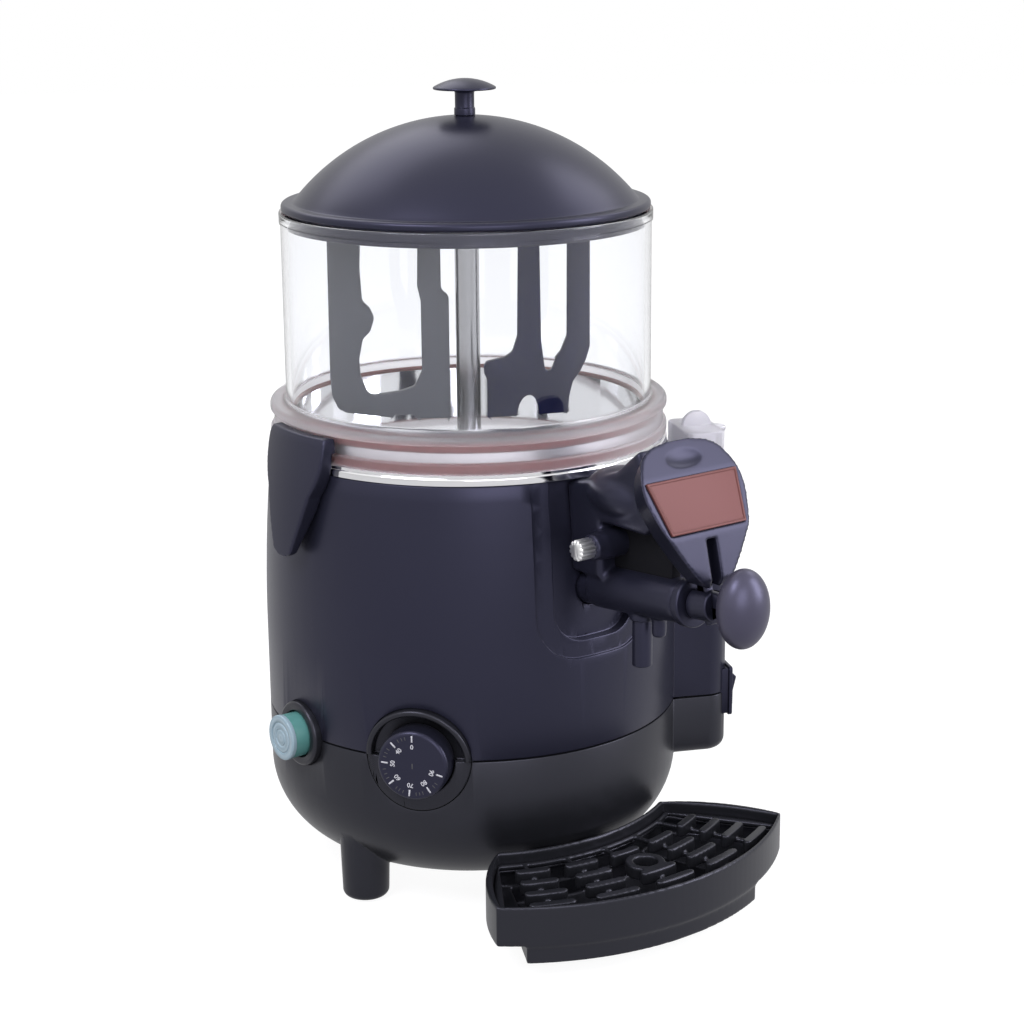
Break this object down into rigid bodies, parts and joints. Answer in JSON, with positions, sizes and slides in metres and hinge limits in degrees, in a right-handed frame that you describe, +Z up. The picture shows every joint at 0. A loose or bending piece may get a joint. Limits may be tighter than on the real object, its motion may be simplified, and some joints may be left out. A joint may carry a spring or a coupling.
{
  "type": "hot chocolate dispenser",
  "caption": "Countertop hot chocolate dispenser: round black body, clear bowl with domed lid and stirring paddles, pull tap over a curved drip tray.",
  "frame": {"origin": "on the counter under the vertical axis of the body and bowl", "axes": "+Z up along the bowl's axis, -Y towards the tap and drip tray, +X towards the side housing"},
  "size_m": [0.2803, 0.383, 0.47],
  "materials": {
    "black_plastic": "satin moulded",
    "clear_plastic": "clear moulded plastic",
    "rim_steel": "polished stainless",
    "inner_steel": "plain",
    "seal_red": "silicone",
    "pad_rubber": "matt",
    "wide_grey": "satin",
    "blade_navy": "satin",
    "bush_white": "plain",
    "motor_paint": "plain",
    "plaque_copper": "satin copper brown",
    "button_green": "gloss"
  },
  "bodies": {
    "base": {"bottom_plate": "inner_steel", "bottom_screws": "inner_steel", "bowl": "clear_plastic", "button_bezel": "black_plastic", "cable_gland": "black_plastic", "carrier_screws": "inner_steel", "clip_pin_left": "inner_steel", "clip_pin_right": "inner_steel", "clip_spring_left": "inner_steel", "clip_spring_right": "inner_steel", "column_bush": "bush_white", "column_tube": "rim_steel", "dial_cup": "black_plastic", "foot_pads": "pad_rubber", "gearmotor": "motor_paint", "head_plaque": "plaque_copper", "heater_ring": "inner_steel", "lever_pin": "inner_steel", "lock_pin": "rim_steel", "lower_shell": "black_plastic", "motor_bracket": "inner_steel", "nozzle": "black_plastic", "outlet_tube": "inner_steel", "pan": "rim_steel", "rocker_frame": "black_plastic", "seal_band": "rim_steel", "seal_ring": "seal_red", "switch_body": "bush_white", "tap_body": "black_plastic", "tap_end_ring": "black_plastic", "tap_head": "black_plastic", "tap_spring": "inner_steel", "terminal_block": "bush_white", "thermostat": "motor_paint", "tray_carrier": "black_plastic", "upper_shell": "black_plastic", "water_bath": "rim_steel"},
    "lid": {"lid": "black_plastic", "lid_knob": "black_plastic", "lid_screw": "inner_steel"},
    "agitator": {"wide_blade": "wide_grey", "narrow_blade": "blade_navy", "agitator_hub": "blade_navy", "drive_shaft": "inner_steel"},
    "tap_lever": {"tap_lever": "black_plastic", "tap_knob": "black_plastic"},
    "piston": {"piston": "black_plastic", "piston_seal": "pad_rubber", "fork_pin": "inner_steel"},
    "button": {"button": "button_green", "button_cap": "clear_plastic"},
    "dial": {"dial": "black_plastic", "dial_spindle": "inner_steel"},
    "rocker": {"rocker": "black_plastic"},
    "clip_left": {"clip_left": "black_plastic"},
    "clip_right": {"clip_right": "black_plastic"},
    "drip_tray": {"drip_tray": "black_plastic"},
    "tray_grid": {"tray_grid": "black_plastic"},
    "filler_cap": {"filler_cap": "clear_plastic"}
  },
  "joints": [
    {"name": "lid_lift", "type": "slide", "parent": "base", "child": "lid", "axis": [0, 0, 1], "range_m": [0, 0.12]},
    {"name": "agitator_spin", "type": "hinge", "parent": "base", "child": "agitator", "pos_m": [0, 0, 0.33], "axis": [0, 0, 1], "continuous": true},
    {"name": "tap_pull", "type": "hinge", "parent": "base", "child": "tap_lever", "pos_m": [0, -0.197, 0.258], "axis": [-1, 0, 0], "range_deg": [0, 12], "stiffness_Nm_per_rad": 2, "springref_deg": -6.88},
    {"name": "piston_slide", "type": "slide", "parent": "base", "child": "piston", "axis": [0, -0.9925, 0.1219], "range_m": [0, 0.0124], "deforming": ["tap_spring"]},
    {"name": "button_press", "type": "slide", "parent": "base", "child": "button", "axis": [1, 0, 0], "range_m": [0, 0.0035], "stiffness_N_per_m": 400, "springref_m": -0.001},
    {"name": "dial_turn", "type": "hinge", "parent": "base", "child": "dial", "pos_m": [-0.09714, -0.07866, 0.1], "axis": [0.7771, 0.6293, 0], "range_deg": [0, 270]},
    {"name": "rocker_tilt", "type": "hinge", "parent": "base", "child": "rocker", "pos_m": [0.11965, -0.09268, 0.1], "axis": [-0.4067, -0.9135, 0], "range_deg": [0, 14]},
    {"name": "clip_left_open", "type": "hinge", "parent": "base", "child": "clip_left", "pos_m": [-0.1242, 0, 0.238], "axis": [0, -1, 0], "range_deg": [0, 11], "stiffness_Nm_per_rad": 1, "springref_deg": -8.59},
    {"name": "clip_right_open", "type": "hinge", "parent": "base", "child": "clip_right", "pos_m": [0.1242, 0, 0.238], "axis": [0, 1, 0], "range_deg": [0, 11], "stiffness_Nm_per_rad": 1, "springref_deg": -8.59},
    {"name": "tray_slide", "type": "slide", "parent": "base", "child": "drip_tray", "axis": [0, -1, 0], "range_m": [0, 0.11]},
    {"name": "grid_lift", "type": "slide", "parent": "drip_tray", "child": "tray_grid", "axis": [0, 0, 1], "range_m": [0, 0.05]},
    {"name": "filler_lift", "type": "slide", "parent": "base", "child": "filler_cap", "axis": [0, 0, 1], "range_m": [0, 0.04]}
  ],
  "couplings": [
    {"joint": "piston_slide", "follows": "tap_pull", "m_per_rad": 0.05887}
  ]
}
